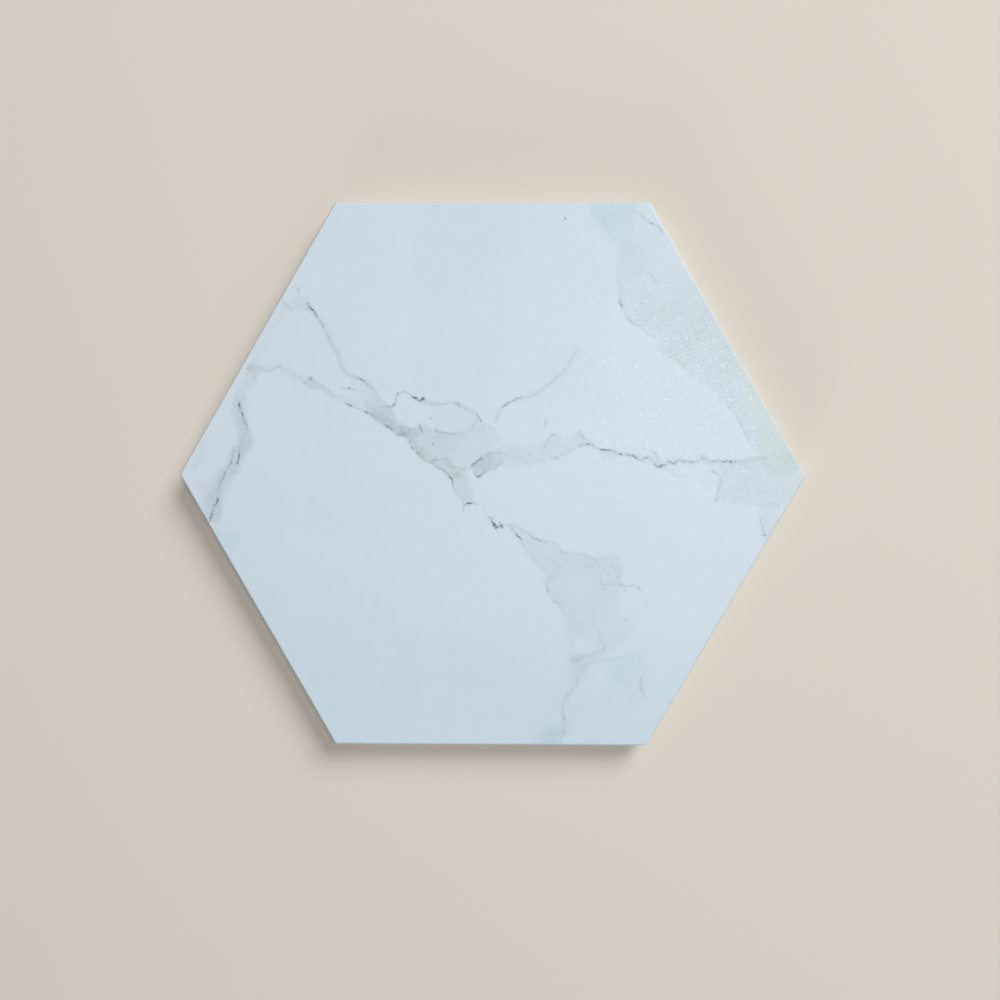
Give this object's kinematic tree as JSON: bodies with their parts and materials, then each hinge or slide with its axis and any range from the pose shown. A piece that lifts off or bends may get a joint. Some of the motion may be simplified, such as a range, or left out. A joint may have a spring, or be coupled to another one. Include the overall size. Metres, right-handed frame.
{
  "type": "hexagon porcelain tile",
  "caption": "Flat regular hexagon tile of fired porcelain with a satin marble-look face, a soft arris, a drafted skirt and a honeycomb-keyed back, for floors and walls.",
  "frame": {"origin": "centre of the back, on the plane of the back's ribs and border", "axes": "+Z out of the glazed face, +X towards a corner, +Y square to an edge"},
  "size_m": [0.2304, 0.2, 0.009],
  "materials": {
    "glazed_porcelain": "satin glaze, cool white with grey marble-look veining; back and lower edge bare fired body"
  },
  "bodies": {
    "root": {"hexagon_tile": "glazed_porcelain"}
  },
  "joints": []
}
